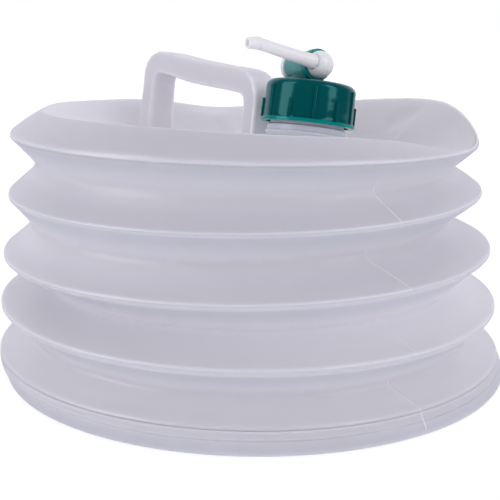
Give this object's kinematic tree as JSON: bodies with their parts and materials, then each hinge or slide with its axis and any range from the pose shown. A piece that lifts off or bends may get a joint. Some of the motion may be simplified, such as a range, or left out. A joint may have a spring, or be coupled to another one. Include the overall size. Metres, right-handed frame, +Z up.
{
  "type": "collapsible water carrier",
  "caption": "Round accordion water carrier in milky plastic that presses flat, with a moulded carry handle and an offset screw cap that holds a lever tap with a bent spout.",
  "frame": {"origin": "centre of the base's underside, on the surface that it stands on", "axes": "+Z up along the bag, +X from the handle to the neck along the mould's parting plane"},
  "size_m": [0.2964, 0.2964, 0.1935],
  "materials": {
    "natural_ldpe": "milky, translucent, satin",
    "cap_green": "glossy dark green moulding",
    "spout_white": "satin white moulding",
    "seal_rubber": "soft matte rubber"
  },
  "bodies": {
    "base": {"base_pan": "natural_ldpe", "fold_5": "natural_ldpe"},
    "fold_4_ring": {"fold_4": "natural_ldpe"},
    "fold_3_ring": {"fold_3": "natural_ldpe"},
    "fold_2_ring": {"fold_2": "natural_ldpe"},
    "top": {"fold_1": "natural_ldpe", "top_panel": "natural_ldpe", "neck": "natural_ldpe", "carry_handle": "natural_ldpe"},
    "seal": {"cap_gasket": "seal_rubber"},
    "cap": {"screw_cap": "cap_green"},
    "lever": {"spout_lever": "spout_white", "rotor_end_cap": "spout_white", "rotor_ring_rear": "seal_rubber", "rotor_ring_front": "seal_rubber"}
  },
  "joints": [
    {"name": "collapse", "type": "slide", "parent": "base", "child": "top", "axis": [0, 0, -1], "range_m": [0, 0.084], "deforming": ["fold_5", "fold_1"]},
    {"name": "fold_4_drop", "type": "slide", "parent": "base", "child": "fold_4_ring", "axis": [0, 0, -1], "range_m": [0, 0.01962], "deforming": ["fold_4"]},
    {"name": "fold_3_drop", "type": "slide", "parent": "base", "child": "fold_3_ring", "axis": [0, 0, -1], "range_m": [0, 0.04108], "deforming": ["fold_3"]},
    {"name": "fold_2_drop", "type": "slide", "parent": "base", "child": "fold_2_ring", "axis": [0, 0, -1], "range_m": [0, 0.06255], "deforming": ["fold_2"]},
    {"name": "cap_lift", "type": "slide", "parent": "top", "child": "seal", "axis": [-0.0632, 0.1994, 0.9779], "range_m": [0, 0.015]},
    {"name": "cap_turn", "type": "hinge", "parent": "seal", "child": "cap", "pos_m": [0.04469, 0.00317, 0.14555], "axis": [-0.0632, 0.1994, 0.9779], "range_deg": [0, 900]},
    {"name": "tap_turn", "type": "hinge", "parent": "cap", "child": "lever", "pos_m": [0.04261, 0.00973, 0.17772], "axis": [-0.9694, 0.2204, -0.1076], "range_deg": [0, 166]}
  ],
  "couplings": [
    {"joint": "fold_4_drop", "follows": "collapse", "ratio": 0.23347},
    {"joint": "fold_3_drop", "follows": "collapse", "ratio": 0.48898},
    {"joint": "fold_2_drop", "follows": "collapse", "ratio": 0.74449},
    {"joint": "cap_lift", "follows": "cap_turn", "m_per_rad": 0.00095492}
  ]
}
